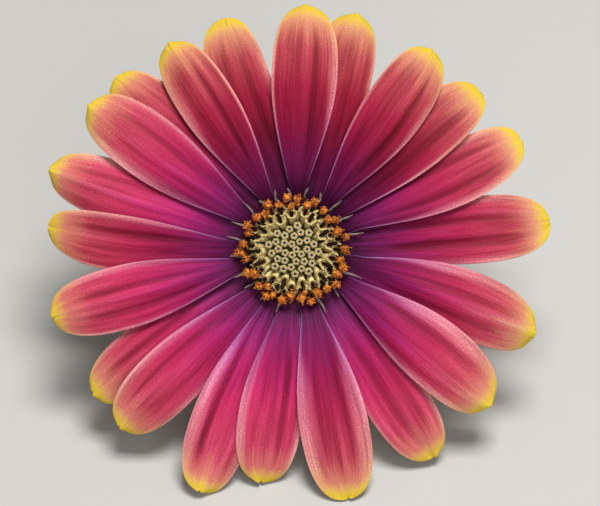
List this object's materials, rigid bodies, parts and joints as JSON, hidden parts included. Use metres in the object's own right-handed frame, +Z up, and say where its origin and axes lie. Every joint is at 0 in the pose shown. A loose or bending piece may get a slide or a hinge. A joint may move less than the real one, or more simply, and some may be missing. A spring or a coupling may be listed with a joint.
{
  "type": "osteospermum flower",
  "caption": "Picked daisy-like flower with overlapping pink and yellow rays, a cream and orange disc, green bracts and a short curved stem lying on a surface.",
  "frame": {"origin": "on the surface that the flower lies on, below the centre of its outline", "axes": "+Z up from the surface, +X to the right of the flower as it faces the viewer, +Y away from the viewer, along the stem"},
  "size_m": [0.0652, 0.075, 0.0424],
  "materials": {
    "ray_petal": "satin",
    "bract_green": "matte",
    "stem_green": "matte",
    "disc_bud": "matte",
    "disc_floret": "matte",
    "pollen": "matte"
  },
  "bodies": {
    "root": {"ray_floret_01": "ray_petal", "ray_floret_02": "ray_petal", "ray_floret_03": "ray_petal", "ray_floret_04": "ray_petal", "ray_floret_05": "ray_petal", "ray_floret_06": "ray_petal", "ray_floret_07": "ray_petal", "ray_floret_08": "ray_petal", "ray_floret_09": "ray_petal", "ray_floret_10": "ray_petal", "ray_floret_11": "ray_petal", "ray_floret_12": "ray_petal", "ray_floret_13": "ray_petal", "ray_floret_14": "ray_petal", "ray_floret_15": "ray_petal", "ray_floret_16": "ray_petal", "ray_floret_17": "ray_petal", "ray_floret_18": "ray_petal", "ray_floret_19": "ray_petal", "ray_floret_20": "ray_petal", "ray_floret_21": "ray_petal", "bract_01": "bract_green", "bract_02": "bract_green", "bract_03": "bract_green", "bract_04": "bract_green", "bract_05": "bract_green", "bract_06": "bract_green", "bract_07": "bract_green", "bract_08": "bract_green", "bract_09": "bract_green", "bract_10": "bract_green", "bract_11": "bract_green", "bract_12": "bract_green", "bract_13": "bract_green", "bract_14": "bract_green", "bract_15": "bract_green", "bract_16": "bract_green", "bract_17": "bract_green", "bract_18": "bract_green", "bract_19": "bract_green", "bract_20": "bract_green", "bract_21": "bract_green", "receptacle": "bract_green", "disc_buds": "disc_bud", "opening_florets": "disc_floret", "open_florets": "disc_floret", "stem": "stem_green"}
  },
  "joints": []
}
